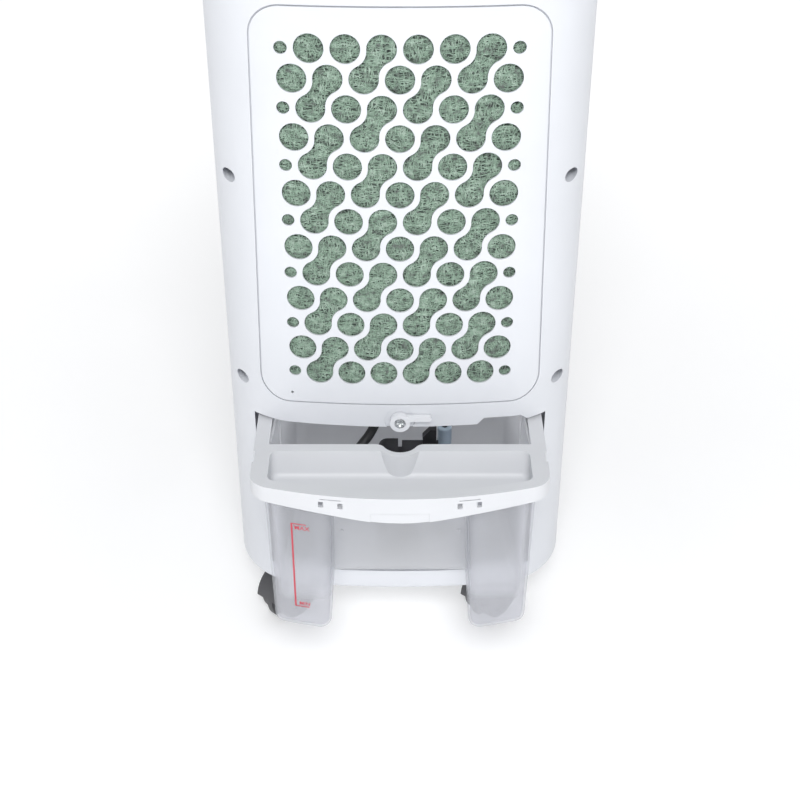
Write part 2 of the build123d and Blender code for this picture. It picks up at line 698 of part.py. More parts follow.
def make_fan_impeller():
    hub = rod_y(0, -16, 12, FAN_Z, 84)
    hub = fillet(hub.edges().filter_by(lambda e: e.center().Y < -10), 10)
    hub -= rod_y(0, -10, 20, FAN_Z, 76) - rod_y(0, -20, 30, FAN_Z, 20)
    hub -= rod_y(0, -14.5, 20, FAN_Z, 8 + FIT)
    fan = hub
    blade = block(39, FAN_R, -1.3, 1.3, -24, 24)
    blade = blade & rod_y(0, -30, 30, 0, 2 * FAN_R)
    for i in range(5):
        turned = Pos(0, -2, FAN_Z) * Rot(0, 72 * i, 0) * Rot(28, 0, 0) * blade
        fan += turned & rod_y(0, -15.9, 12, FAN_Z, 2 * FAN_R)
    return fan


# ---------------------------------------------------------------- outlet
def louvre_zs():
    return [FAN_Z + (i - 2) * LOUVRE_PITCH for i in range(5)]


def vane_xs():
    return [(i - 2) * VANE_PITCH for i in range(5)]


def make_outlet_frame():
    w = OUTLET_HALF_W + OUTLET_WALL
    z0 = OUTLET_BOTTOM - OUTLET_WALL
    z1 = OUTLET_TOP + OUTLET_WALL
    frame = block(-w, w, -160, -72, z0, z1)
    flange = block(-w - 6, w + 6, -170, -110, z0 - 6, z1 + 6) & plan_ring(WALL + 0.3, WALL + 2.8, z0 - 8, z1 + 8)
    frame = (frame & plan_solid(0.5, z0 - 1, z1 + 1)) + flange
    frame -= block(-OUTLET_HALF_W, OUTLET_HALF_W, -180, -60, OUTLET_BOTTOM, OUTLET_TOP)
    for z in louvre_zs():
        frame -= rod_x(-w - 1, w + 1, LOUVRE_AXIS_Y, z, PIN_D + FIT)
    for x in vane_xs():
        frame -= rod_z(x, VANE_AXIS_Y, z0 - 1, z1 + 1, PIN_D + FIT)
    return frame


def blade_section(half_len):
    """A flat blade with rounded long edges, lying along X about its pivot."""
    core = block(-half_len, half_len, -BLADE_CHORD / 2 + 1.5, BLADE_CHORD / 2 - 1.5, -1.5, 1.5)
    for y in (-BLADE_CHORD / 2 + 1.5, BLADE_CHORD / 2 - 1.5):
        core += rod_x(-half_len, half_len, y, 0, BLADE_THICK)
    return core


def make_louvre(z):
    end = OUTLET_HALF_W - 1.5
    blade = blade_section(end) + rod_x(-end - 5, end + 5, 0, 0, PIN_D)
    blade -= block(102.5, 107.5, CRANK - 6, 30, -5, 5)
    blade += rod_x(102, 108, CRANK, 0, CRANK_PIN_D)
    return Pos(0, LOUVRE_AXIS_Y, z) * blade


def link_bar(half_span, pitch):
    """A flat bar along X with five holes along Z."""
    bar = extrude(SlotOverall(2 * half_span, 6), amount=1, both=True)
    for i in range(5):
        bar -= rod_z((i - 2) * pitch, 0, -3, 3, CRANK_PIN_D + FIT)
    return bar


def make_louvre_link():
    bar = Rot(0, 90, 0) * link_bar(2 * LOUVRE_PITCH + 4, LOUVRE_PITCH)
    return Pos(105, LOUVRE_AXIS_Y + CRANK, FAN_Z) * bar


def make_vane(x, driven):
    half = (OUTLET_TOP - OUTLET_BOTTOM) / 2 - 1.5
    blade = blade_section(half) + rod_x(-half - 5, half + 5, 0, 0, PIN_D)
    if driven:
        blade += rod_x(-half - 16, -half, 0, 0, PIN_D)
    blade -= block(84.5, 89.5, CRANK - 6, 30, -5, 5)
    blade += rod_x(84, 90, CRANK, 0, CRANK_PIN_D)
    upright = Rot(0, -90, 0) * blade
    return Pos(x, VANE_AXIS_Y, FAN_Z) * upright


def make_vane_link():
    return Pos(0, VANE_AXIS_Y + CRANK, FAN_Z + 87) * link_bar(2 * VANE_PITCH + 4, VANE_PITCH)


def make_swing_motor():
    top = OUTLET_BOTTOM - OUTLET_WALL
    motor = rod_z(0, VANE_AXIS_Y, top - 15, top, 28)
    motor += block(-20, 20, VANE_AXIS_Y - 4, VANE_AXIS_Y + 4, top - 2, top)
    return motor - rod_z(0, VANE_AXIS_Y, top - 13, top + 1, PIN_D + FIT)


# ---------------------------------------------------------------- controls
def make_control_board():
    board = block(-68, 68, -112, -58, 685.4, 687)
    for x in button_xs():
        board += block(x - 3, x + 3, BUTTON_Y - 3, BUTTON_Y + 3, 687, 688)
    board += block(-28, 28, DISPLAY_Y - 7, DISPLAY_Y + 7, 687, 694)
    return board


def make_display():
    return block(-30, 30, DISPLAY_Y - 8, DISPLAY_Y + 8, 696.2, 698.6)


def make_button(x):
    button = rod_z(x, BUTTON_Y, 694, 700.4, BUTTON_D)
    button = fillet(button.edges().sort_by(Axis.Z)[-1:], 0.8)
    button += rod_z(x, BUTTON_Y, 693, 694.6, 15)
    return button + rod_z(x, BUTTON_Y, 689.2, 694, 5)


# ---------------------------------------------------------------- casters
def caster_hood(x, y, braked):
    """Stem, boss and hood of a twin-wheel caster, with the axle; it trails towards +Y."""
    ay = y + CASTER_OFFSET
    az = WHEEL_D / 2
    shell = rod_x(x - 17, x + 17, ay, az, 2 * 29.4) - rod_x(x - 20, x + 20, ay, az, 2 * 26.6)
    shell &= block(x - 20, x + 20, ay - 40, ay + 40, az + 3, az + 40)
    hood = shell + (rod_x(x - 3, x + 3, ay, az, 2 * 29.4) & block(x - 4, x + 4, ay - 40, ay + 40, 8, 70))
    hood += rod_z(x, y, 40, 57, 17) & block(x - 3, x + 3, y - 20, y + 20, 30, 60)
    hood += rod_z(x, y, 52.6, 57, 17)
    hood += rod_z(x, y, 50, 75, STEM_D) - block(x - 10, x + 10, y - 10, y + 10, 40, 52)
    hood += rod_x(x - 16.5, x + 16.5, ay, az, 6)
    if braked:
        for sign in (-1, 1):
            ear = block(x + sign * 6.5 - 1.5, x + sign * 6.5 + 1.5, ay + 14, ay + 31, az + 13, az + 22)
            ear -= rod_x(x - 20, x + 20, ay, az, 2 * 27)
            hood += ear
        hood -= rod_x(x - 20, x + 20, ay + 27, az + 18, 3 + FIT)
    return hood


def swivelled(shape, x, y, angle):
    """A caster piece turned about its stem."""
    return Pos(x, y) * Rot(0, 0, angle) * Pos(-x, -y) * shape


def caster_wheels(x, y, turn):
    ay = y + CASTER_OFFSET
    az = WHEEL_D / 2
    wheels = []
    for sign in (-1, 1):
        x0, x1 = sorted((x + sign * 3.6, x + sign * (3.6 + WHEEL_T)))
        wheel = rod_x(x0, x1, ay, az, WHEEL_D)
        wheel = fillet(wheel.edges(), 2.5)
        wheel -= rod_x(x0 - 1, x1 + 1, ay, az, 6 + FIT)
        outer = x1 if sign > 0 else x0
        dish = rod_x(outer - 2, outer + 2, ay, az, 34) - rod_x(outer - 3, outer + 3, ay, az, 12)
        wheels.append(swivelled(wheel - dish, x, y, turn))
    return Compound(children=wheels)


def brake_pedal(x, y):
    py = y + CASTER_OFFSET + 27
    pz = WHEEL_D / 2 + 18
    pedal = rod_x(x - 8, x + 8, py, pz, 3)
    pedal += block(x - 4.6, x + 4.6, py - 1, py + 6, pz - 1.5, pz + 1.5)
    pad = block(x - 11, x + 11, py + 5, py + 17, pz - 1.5, pz + 1.5)
    return pedal + fillet(pad.edges().filter_by(Axis.Z), 3)


def make_bushing():
    x = -HALF_W
    bushing = rod_x(x - 2, x + 9, INLET_Y, INLET_Z, INLET_D - 0.2)
    bushing += rod_x(x - 2.5, x + 0.3, INLET_Y, INLET_Z, INLET_D + 5)
    bushing += rod_x(x + WALL + 2.2, x + 7, INLET_Y, INLET_Z, INLET_D + 3)
    return bushing - rod_x(x - 5, x + 12, INLET_Y, INLET_Z, CORD_BORE)


def casing_screws():
    points = [(sign * WELL_X, z) for sign in (-1, 1) for z in WELL_ZS]
    return screw_heads(points, 103, 8, 2.6, 3.4, 32)


nodes = {
    "rear_casing": make_rear_casing,
    "front_casing": make_front_casing,
    "top_cover": make_top_cover,
    "base_pan": make_base_pan,
    "rear_grille": make_grille,
    "cooling_pad": make_cooling_pad,
    "pad_frame": make_pad_frame,
    "water_distributor": make_water_distributor,
    "drip_tray": make_drip_tray,
    "riser_hose": make_riser_hose,
    "pump_hose": make_pump_hose,
    "water_tank": make_water_tank,
    "tank_frame": make_tank_frame,
    "pump_body": make_pump_body,
    "pump_holder": make_pump_holder,
    "float_stem": make_float_stem,
    "level_float": make_level_float,
    "tank_latch": make_latch,
    "latch_screw": make_latch_screw,
    "casing_screws": casing_screws,
    "fan_shroud": make_fan_shroud,
    "motor_spider": make_motor_spider,
    "fan_motor": make_fan_motor,
    "fan_impeller": make_fan_impeller,
    "outlet_frame": make_outlet_frame,
    "louvre_link": make_louvre_link,
    "vane_link": make_vane_link,
    "swing_motor": make_swing_motor,
    "control_board": make_control_board,
    "display_window": make_display,
    "inlet_plate": make_inlet_plate,
    "cord_bushing": make_bushing,
}
for number, z in enumerate(louvre_zs(), start=1):
    nodes[f"louvre_{number}"] = lambda z=z: make_louvre(z)
for number, x in enumerate(vane_xs(), start=1):
    nodes[f"vane_{number}"] = lambda x=x: make_vane(x, driven=(x == 0))
for number, x in enumerate(button_xs(), start=1):
    nodes[f"button_{number}"] = lambda x=x: make_button(x)
for corner, (x, y) in caster_points().items():
    braked = corner.startswith("front")
    turn = 0 if braked else REAR_SWIVEL
    nodes[f"caster_hood_{corner}"] = lambda x=x, y=y, braked=braked, turn=turn: swivelled(
        caster_hood(x, y, braked), x, y, turn
    )
    nodes[f"caster_wheels_{corner}"] = lambda x=x, y=y, turn=turn: caster_wheels(x, y, turn)
    if braked:
        nodes[f"brake_pedal_{corner}"] = lambda x=x, y=y: brake_pedal(x, y)

for name, make in nodes.items():
    export_step(make(), f"parts/{name}.step")
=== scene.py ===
import json
from math import pi, radians, sin, sqrt, tan

import bpy
import numpy as np
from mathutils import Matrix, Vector


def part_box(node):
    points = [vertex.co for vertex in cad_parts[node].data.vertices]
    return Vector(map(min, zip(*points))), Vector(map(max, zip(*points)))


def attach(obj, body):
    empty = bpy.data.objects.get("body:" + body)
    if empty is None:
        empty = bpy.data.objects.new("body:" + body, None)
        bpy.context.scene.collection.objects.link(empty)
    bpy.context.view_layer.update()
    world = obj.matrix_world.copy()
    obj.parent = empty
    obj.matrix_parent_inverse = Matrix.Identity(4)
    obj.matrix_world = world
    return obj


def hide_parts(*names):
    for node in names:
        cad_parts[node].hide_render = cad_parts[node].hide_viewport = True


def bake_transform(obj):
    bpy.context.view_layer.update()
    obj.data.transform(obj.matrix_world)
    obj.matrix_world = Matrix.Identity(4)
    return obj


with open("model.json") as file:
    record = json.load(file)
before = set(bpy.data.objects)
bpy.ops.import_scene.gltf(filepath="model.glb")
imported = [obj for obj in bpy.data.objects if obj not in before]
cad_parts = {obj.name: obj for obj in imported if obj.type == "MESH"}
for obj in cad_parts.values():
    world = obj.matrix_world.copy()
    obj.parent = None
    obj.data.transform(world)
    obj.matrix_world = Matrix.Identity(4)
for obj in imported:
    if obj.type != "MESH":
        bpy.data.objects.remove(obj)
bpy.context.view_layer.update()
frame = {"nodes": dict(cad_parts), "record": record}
nodes = frame["nodes"]

MM = 0.001

# driving sizes of the CAD model that the added pieces follow, in metres and radians
HALF_D = 0.155
REAR_BOW_R = 0.8
REAR_CORNER_R = 0.07
HALF_W = 0.157
RIM_FRONT_Y = 0.261
RIM_BOW_R = 0.39
LOBE_INSET = 0.006
LOBE_TOP = 0.244
LOBE_TAPER = radians(1.4)


# ------------------------------------------------------------------ node helpers
class Tree:
    """A material's node tree with short calls for the nodes used here."""

    def __init__(self, name):
        self.material = bpy.data.materials.new(name)
        self.material.use_nodes = True
        self.tree = self.material.node_tree
        self.tree.nodes.clear()
        self.out = self.add("ShaderNodeOutputMaterial")

    def add(self, kind, **settings):
        node = self.tree.nodes.new(kind)
        for key, value in settings.items():
            setattr(node, key, value)
        return node

    def link(self, a, b):
        self.tree.links.new(a, b)

    def place(self, scale=(1, 1, 1)):
        coords = self.add("ShaderNodeTexCoord")
        mapping = self.add("ShaderNodeMapping")
        mapping.inputs["Scale"].default_value = scale
        self.link(coords.outputs["Object"], mapping.inputs["Vector"])
        return mapping.outputs["Vector"]

    def noise(self, scale, detail=4.0, rough=0.55, stretch=(1, 1, 1)):
        noise = self.add("ShaderNodeTexNoise")
        noise.inputs["Scale"].default_value = scale
        noise.inputs["Detail"].default_value = detail
        noise.inputs["Roughness"].default_value = rough
        self.link(self.place(stretch), noise.inputs["Vector"])
        return noise.outputs["Fac"]

    def ramp(self, value, stops):
        ramp = self.add("ShaderNodeValToRGB")
        elements = ramp.color_ramp.elements
        while len(elements) < len(stops):
            elements.new(0.5)
        for element, (position, colour) in zip(elements, stops):
            element.position = position
            element.color = (*colour, 1)
        self.link(value, ramp.inputs["Fac"])
        return ramp.outputs["Color"]

    def span(self, value, low, high, start=0.0, end=1.0):
        """Maps a value in start..end to low..high."""
        remap = self.add("ShaderNodeMapRange")
        remap.inputs["From Min"].default_value = start
        remap.inputs["From Max"].default_value = end
        remap.inputs["To Min"].default_value = low
        remap.inputs["To Max"].default_value = high
        self.link(value, remap.inputs["Value"])
        return remap.outputs["Result"]

    def bump(self, value, distance, strength=1.0, under=None):
        bump = self.add("ShaderNodeBump")
        bump.inputs["Distance"].default_value = distance
        bump.inputs["Strength"].default_value = strength
        self.link(value, bump.inputs["Height"])
        if under is not None:
            self.link(under, bump.inputs["Normal"])
        return bump.outputs["Normal"]

    def principled(self, rough, metallic=0.0, **sockets):
        shader = self.add("ShaderNodeBsdfPrincipled")
        shader.inputs["Roughness"].default_value = rough
        shader.inputs["Metallic"].default_value = metallic
        for name, value in sockets.items():
            shader.inputs[name.replace("_", " ")].default_value = value
        return shader

    def finish(self, shader):
        """Makes a shader's output the material's surface and gives the material back."""
        self.link(shader.outputs[0], self.out.inputs["Surface"])
        return self.material


def shade(colour, factor):
    """A colour made darker or lighter by a factor."""
    return tuple(min(1.0, c * factor) for c in colour)


def moulded_plastic(name, colour, rough, grain=0.00004, mottle=0.025):
    """Injection-moulded plastic: faint mottling, uneven gloss, a fine spark-eroded grain."""
    t = Tree(name)
    broad = t.noise(9, detail=3)
    shader = t.principled(rough, Specular_IOR_Level=0.45)
    t.link(t.ramp(broad, [(0.3, shade(colour, 1 - mottle)), (0.7, shade(colour, 1 + mottle))]),
           shader.inputs["Base Color"])
    t.link(t.span(t.noise(60, detail=5), rough - 0.06, rough + 0.08), shader.inputs["Roughness"])
    t.link(t.bump(t.noise(2600, detail=2), grain, 0.35), shader.inputs["Normal"])
    return t.finish(shader)


def cast_metal(name, colour, rough, brush=(1, 1, 1), mottle=0.12):
    """Bare or plated metal with cloudy tarnish, brushed along the axes that brush leaves at 1."""
    t = Tree(name)
    shader = t.principled(rough, metallic=1.0)
    cloud = t.noise(120, detail=6)
    t.link(t.ramp(cloud, [(0.25, shade(colour, 1 - mottle)), (0.75, shade(colour, 1 + mottle))]),
           shader.inputs["Base Color"])
    streaks = t.noise(500, detail=3, stretch=brush)
    t.link(t.span(streaks, rough - 0.1, rough + 0.12), shader.inputs["Roughness"])
    t.link(t.bump(streaks, 0.00003, 0.4), shader.inputs["Normal"])
    return t.finish(shader)


def rubbery(name, colour, rough, lines=0.0):
    """Dull rubber or vinyl with dust on it and, where lines is set, fine moulded lines."""
    t = Tree(name)
    shader = t.principled(rough)
    dust = t.noise(45, detail=6)
    t.link(t.ramp(dust, [(0.35, colour), (0.8, shade(colour, 1.5))]), shader.inputs["Base Color"])
    normal = t.bump(t.noise(1400, detail=3), 0.00006, 0.5)
    if lines:
        wave = t.add("ShaderNodeTexWave", bands_direction="Z")
        wave.inputs["Scale"].default_value = lines
        wave.inputs["Distortion"].default_value = 0.4
        t.link(t.place(), wave.inputs["Vector"])
        normal = t.bump(wave.outputs["Fac"], 0.0001, 0.3, under=normal)
    t.link(normal, shader.inputs["Normal"])
    return t.finish(shader)


# the depth, along Y, over which the tank goes from its pool to its front lobes
POOL_END = 0.187
LOBE_START = 0.200
CLEAR_TINT = (0.925, 0.925, 0.94)


def frosted_plastic(name, colour, pool_share, lobe_share, scatter_share):
    """Milky see-through polypropylene: part clear, part scattering light through, part surface.

    The pool's thicker walls let less through clearly than the thin front lobes do."""
    t = Tree(name)
    skin = t.principled(rough=0.38)
    t.link(t.ramp(t.noise(14, detail=3), [(0.3, shade(colour, 0.96)), (0.7, shade(colour, 1.03))]),
           skin.inputs["Base Color"])
    t.link(t.span(t.noise(80, detail=4), 0.32, 0.46), skin.inputs["Roughness"])
    t.link(t.bump(t.noise(700, detail=3), 0.00008, 0.3), skin.inputs["Normal"])
    through = t.add("ShaderNodeBsdfTranslucent")
    through.inputs["Color"].default_value = (*colour, 1)
    body = t.add("ShaderNodeMixShader")
    body.inputs["Fac"].default_value = scatter_share
    t.link(skin.outputs["BSDF"], body.inputs[1])
    t.link(through.outputs["BSDF"], body.inputs[2])
    clear = t.add("ShaderNodeBsdfTransparent")
    clear.inputs["Color"].default_value = (*CLEAR_TINT, 1)
    mixed = t.add("ShaderNodeMixShader")
    axes = t.add("ShaderNodeSeparateXYZ")
    t.link(t.place(), axes.inputs["Vector"])
    share = t.span(axes.outputs["Y"], pool_share, lobe_share, start=POOL_END, end=LOBE_START)
    t.link(share, mixed.inputs["Fac"])
    t.link(body.outputs["Shader"], mixed.inputs[1])
    t.link(clear.outputs["BSDF"], mixed.inputs[2])
    return t.finish(mixed)


def strand_material(name, dark, mid, light):
    """Green netting thread: every stretch a little different, some of it dusty and pale."""
    t = Tree(name)
    shader = t.principled(rough=0.55, Sheen_Weight=0.25, Sheen_Roughness=0.5)
    tone = t.noise(120, detail=6, rough=0.75, stretch=(1, 1, 1.3))
    colour = t.ramp(tone, [(0.36, dark), (0.48, mid), (0.62, light)])
    t.link(colour, shader.inputs["Base Color"])
    t.link(t.bump(t.noise(1800, detail=3), 0.0001, 0.6), shader.inputs["Normal"])
    return t.finish(shader)


def circuit_material(name, board, track):
    """A lacquered circuit board with paler tracks."""
    t = Tree(name)
    shader = t.principled(rough=0.35, Coat_Weight=0.4)
    tracks = t.noise(260, detail=1, stretch=(1, 3, 1))
    t.link(t.ramp(tracks, [(0.44, board), (0.52, track)]), shader.inputs["Base Color"])
    t.link(t.bump(tracks, 0.00005, 0.4), shader.inputs["Normal"])
    return t.finish(shader)


# dark, middle and light tones of the pad's strands and of the core under them
STRAND_TONES = [(0.125, 0.15, 0.135), (0.23, 0.34, 0.258), (0.375, 0.485, 0.405)]
CORE_TONES = [(0.05, 0.07, 0.06), (0.11, 0.15, 0.125), (0.17, 0.22, 0.19)]
SHELL = (0.65, 0.665, 0.70)
materials = {}


def add_material(slot, maker, *colours, **settings):
    """Makes a material slot's material, which carries the slot's name."""
    materials[slot] = maker(slot, *colours, **settings)


add_material("shell_white", moulded_plastic, SHELL, rough=0.36)
add_material("grille_white", moulded_plastic, SHELL, rough=0.34)
add_material("frame_white", moulded_plastic, (0.635, 0.645, 0.67), rough=0.42)
add_material("latch_white", moulded_plastic, (0.74, 0.75, 0.78), rough=0.33)
# inner_white is painted light: the tank bay's inner parts get a paler white than the shell's so the
# dim bay reads brighter
add_material("inner_white", moulded_plastic, (0.88, 0.89, 0.90), rough=0.5, mottle=0.04)
add_material("outlet_white", moulded_plastic, (0.76, 0.77, 0.79), rough=0.42)
add_material(
    "tank_clear", frosted_plastic, (0.84, 0.85, 0.87),
    pool_share=0.38, lobe_share=0.74, scatter_share=0.42,
)
add_material("pad_green", strand_material, *STRAND_TONES)
add_material("black_plastic", moulded_plastic, (0.007, 0.007, 0.009), rough=0.5, mottle=0.2)
add_material("hose_black", rubbery, (0.007, 0.007, 0.008), rough=0.5)
add_material("float_grey", moulded_plastic, (0.20, 0.25, 0.30), rough=0.35, mottle=0.08)
add_material("zinc_screw", cast_metal, (0.84, 0.86, 0.85), rough=0.26, brush=(1, 6, 1))
add_material("fan_grey", moulded_plastic, (0.36, 0.37, 0.39), rough=0.45, mottle=0.05)
add_material("motor_metal", cast_metal, (0.42, 0.43, 0.45), rough=0.42, brush=(1, 8, 1))
add_material("board_green", circuit_material, (0.02, 0.13, 0.06), (0.06, 0.32, 0.16))
add_material(
    "display_dark", moulded_plastic, (0.012, 0.012, 0.015),
    rough=0.12, grain=0.00001, mottle=0.1,
)
add_material("button_grey", moulded_plastic, (0.52, 0.53, 0.55), rough=0.4)
add_material("bushing_black", rubbery, (0.02, 0.02, 0.02), rough=0.6)
add_material("caster_grey", moulded_plastic, (0.07, 0.07, 0.075), rough=0.45, mottle=0.1)
add_material("wheel_grey", rubbery, (0.09, 0.09, 0.095), rough=0.62, lines=260)

# the CAD nodes' material slots, from the record
slot_of = {row["node"]: row["material_slot"] for row in frame["record"]["subparts"]}


# ------------------------------------------------------------------ CAD nodes
WELD_REACH = 0.00001
# an edge is bevelled where its faces meet at more than this
SHARP_ANGLE = radians(32)
PLAIN_BEVEL = 0.4

# bevel widths in millimetres of the nodes that differ from PLAIN_BEVEL
BEVELS = {
    "rear_casing": 0.6, "front_casing": 0.8, "top_cover": 0.6, "rear_grille": 0.7,
    "tank_frame": 0.7, "water_tank": 0.5, "tank_latch": 0.5, "outlet_frame": 0.6,
    "pump_body": 0.8, "pump_holder": 0.8, "fan_shroud": 0.8, "fan_impeller": 0.6,
    "motor_spider": 0.6, "pad_frame": 0.5, "base_pan": 0.6, "drip_tray": 0.5,
    "water_distributor": 0.5, "latch_screw": 0.25, "casing_screws": 0.2,
    "display_window": 0.3, "control_board": 0.15,
}


def dress(node, material):
    """Gives a CAD node its material and smooth shading, and softens its edges with modifiers."""
    obj = nodes[node]
    obj.data.materials.clear()
    obj.data.materials.append(material)
    bpy.context.view_layer.objects.active = obj
    if obj.data.has_custom_normals:
        bpy.ops.mesh.customdata_custom_splitnormals_clear()
    obj.data.polygons.foreach_set("use_smooth", [True] * len(obj.data.polygons))
    weld = obj.modifiers.new("weld", "WELD")
    weld.merge_threshold = WELD_REACH
    bevel = obj.modifiers.new("bevel", "BEVEL")
    bevel.width = BEVELS.get(node, PLAIN_BEVEL) * MM
    bevel.segments = 2
    bevel.limit_method = "ANGLE"
    bevel.angle_limit = SHARP_ANGLE
    bevel.harden_normals = True
    bevel.use_clamp_overlap = True


for node, slot in slot_of.items():
    dress(node, materials[slot])


# ------------------------------------------------------------------ mesh helpers
def new_object(name, verts, faces, material, smooth=True):
    """A mesh object of one material, linked into the scene."""
    mesh = bpy.data.meshes.new(name)
    mesh.from_pydata([tuple(v) for v in verts], [], faces)
    mesh.materials.append(material)
    if smooth:
        mesh.polygons.foreach_set("use_smooth", [True] * len(mesh.polygons))
    mesh.validate()
    obj = bpy.data.objects.new(name, mesh)
    bpy.context.scene.collection.objects.link(obj)
    return obj


def tube(points, radius, sides):
    """Vertices and faces of a closed tube along points, its rings square to the path."""
    points = np.asarray(points, float)
    along = np.gradient(points, axis=0)
    along /= np.linalg.norm(along, axis=1)[:, None]
    side = np.cross(along, (0.0, 0.0, 1.0))
    # where the path runs nearly straight up, its side is taken across Y instead
    upright = np.linalg.norm(side, axis=1) < 0.2
    side[upright] = np.cross(along[upright], (0.0, 1.0, 0.0))
    side /= np.linalg.norm(side, axis=1)[:, None]
    up = np.cross(side, along)
    turn = np.arange(sides) * 2 * pi / sides
    ring = side[:, None] * np.cos(turn)[None, :, None] + up[:, None] * np.sin(turn)[None, :, None]
    verts = (points[:, None] + ring * radius).reshape(-1, 3)
    faces = []
    for i in range(len(points) - 1):
        for k in range(sides):
            n = (k + 1) % sides
            faces.append((i * sides + k, i * sides + n, (i + 1) * sides + n, (i + 1) * sides + k))
    last = (len(points) - 1) * sides
    faces.append(tuple(range(sides - 1, -1, -1)))
    faces.append(tuple(range(last, last + sides)))
    return verts, faces


def join_parts(parts):
    """The vertices and faces of several meshes as one."""
    verts, faces = [], []
    for part_verts, part_faces in parts:
        base = len(verts)
        verts.extend(part_verts)
        faces.extend(tuple(base + i for i in face) for face in part_faces)
    return verts, faces


# ------------------------------------------------------------------ cooling pad
def body_outline_y(x, inset):
    """The housing's rear outline from above, moved in by inset; x is an array."""
    corner_x = HALF_W - REAR_CORNER_R
    bow_centre = HALF_D - REAR_BOW_R
    meet = REAR_BOW_R - REAR_CORNER_R
    corner_y = bow_centre + sqrt(meet ** 2 - corner_x ** 2)
    tangent_x = corner_x * REAR_BOW_R / meet
    bow = bow_centre + np.sqrt((REAR_BOW_R - inset) ** 2 - x ** 2)
    past = np.maximum(np.abs(x) - corner_x, 0)
    corner = corner_y + np.sqrt((REAR_CORNER_R - inset) ** 2 - past ** 2)
    return np.where(np.abs(x) <= tangent_x, bow, corner)


# each family of strands: the share of the pad's face it covers, its lie and spread in radians,
# and its shortest and longest, shallowest and deepest strands in millimetres
STRANDS = [
    (1.20, 0.0, 0.14, (7, 17), (1.2, 2.6)),
    (0.80, pi / 2, 0.18, (5, 12), (0.9, 2.3)),
    (0.12, 0.0, 1.2, (3, 7), (0.7, 1.2)),
]
STRAND_R = 0.42 * MM
STRAND_STEPS = 6
STRAND_SIDES = 4
# how far a strand waves across the face and rises off it, and how fast along its length
WAVE = 0.55 * MM
WAVE_RUN = 1.5 * MM
LIFT = 0.3 * MM
LIFT_RUN = 1.1 * MM
PAD_SEED = 7

# the core lies CORE_DEPTH under the pad's face, and its pleats reach PLEAT either way
CORE_DEPTH = 3.6 * MM
CORE_COLUMNS = 120
CORE_ROWS = 170
PLEAT = 0.6 * MM
PLEAT_RUN_X = 1.9 * MM
PLEAT_RUN_Z = 2.6 * MM


def strand_family(rng, low, high, skin, share, lie, spread, lengths, depths):
    """Short wavy strands strewn over the pad's face, each a closed four-sided tube.

    Depths are counted from skin, the pad face's distance behind the housing's outline."""
    half = high.x - STRAND_R
    mean_length = (lengths[0] + lengths[1]) / 2 * MM
    count = int(share * 2 * half * (high.z - low.z) / (mean_length * 2 * STRAND_R))
    length = rng.uniform(*lengths, count)[:, None] * MM
    angle = (lie + rng.normal(0, spread, count))[:, None]
    run = np.linspace(-0.5, 0.5, STRAND_STEPS)[None, :] * length
    wave = WAVE * np.sin(run / WAVE_RUN + rng.uniform(0, 2 * pi, count)[:, None])
    x = rng.uniform(-half, half, count)[:, None] + run * np.cos(angle) - wave * np.sin(angle)
    z = rng.uniform(low.z, high.z, count)[:, None] + run * np.sin(angle) + wave * np.cos(angle)
    x = np.clip(x, -half, half)
    z = np.clip(z, low.z + STRAND_R, high.z - STRAND_R)
    depth = rng.uniform(*depths, count)[:, None] * MM
    lift = LIFT * np.cos(run / LIFT_RUN + rng.uniform(0, 2 * pi, count)[:, None])
    y = body_outline_y(x, skin) - depth + lift
    points = np.stack([x, y, z], axis=2)
    thick = STRAND_R * rng.uniform(0.7, 1.3, count)[:, None]
    across = np.stack([-np.sin(angle) * thick, 0 * angle, np.cos(angle) * thick], axis=2)
    outward = np.stack([0 * angle, thick, 0 * angle], axis=2)
    rings = np.stack([points + across, points + outward, points - across, points - outward], axis=2)
    base = np.arange(count)[:, None] * STRAND_STEPS * STRAND_SIDES
    faces = []
    for step in range(STRAND_STEPS - 1):
        for side in range(STRAND_SIDES):
            a = step * STRAND_SIDES + side
            b = step * STRAND_SIDES + (side + 1) % STRAND_SIDES
            faces.append(base + np.array([[a, b, b + STRAND_SIDES, a + STRAND_SIDES]]))
    last = (STRAND_STEPS - 1) * STRAND_SIDES
    faces.append(base + np.array([[3, 2, 1, 0]]))
    faces.append(base + np.array([[last, last + 1, last + 2, last + 3]]))
    return rings.reshape(-1, 3), np.concatenate(faces)


def make_pad():
    """A tangle of woven strands over a pleated core, behind the grille's holes."""
    rng = np.random.default_rng(PAD_SEED)
    low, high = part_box("cooling_pad")
    skin = HALF_D - high.y
    verts, faces, base = [], [], 0
    for family in STRANDS:
        family_verts, family_faces = strand_family(rng, low, high, skin, *family)
        verts.append(family_verts)
        faces.append(family_faces + base)
        base += len(family_verts)
    verts = np.concatenate(verts)
    faces = np.concatenate(faces).tolist()
    threads = new_object("pad_threads", verts, faces, materials["pad_green"])
    return threads, pad_core(low, high, skin)


